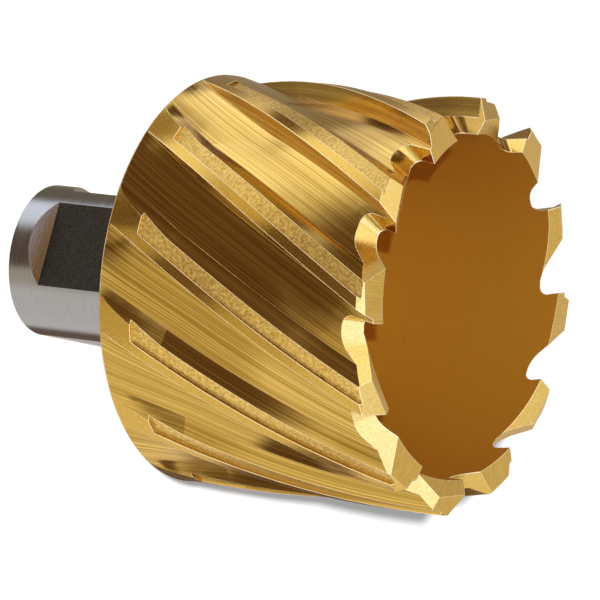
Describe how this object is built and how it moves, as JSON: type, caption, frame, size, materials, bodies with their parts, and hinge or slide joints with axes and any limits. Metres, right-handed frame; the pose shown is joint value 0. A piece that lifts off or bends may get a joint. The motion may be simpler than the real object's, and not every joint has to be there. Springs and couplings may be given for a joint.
{
  "type": "annular cutter",
  "caption": "Hollow hole-cutting tool: a helically fluted cup with a toothed open rim and a bore for the slug, on a round shank with two drive flats.",
  "frame": {"origin": "centre of the shank's end face, which the tool stands on", "axes": "+Z along the tool's axis from the shank to the teeth; the drive flats face 255.2 and 165.2 degrees from +X towards +Y"},
  "size_m": [0.0508, 0.0508, 0.0625],
  "materials": {
    "coated_steel": "gold nitride coating over ground tool steel, with the shank left as bare ground steel"
  },
  "bodies": {
    "root": {"annular_cutter": "coated_steel"}
  },
  "joints": []
}
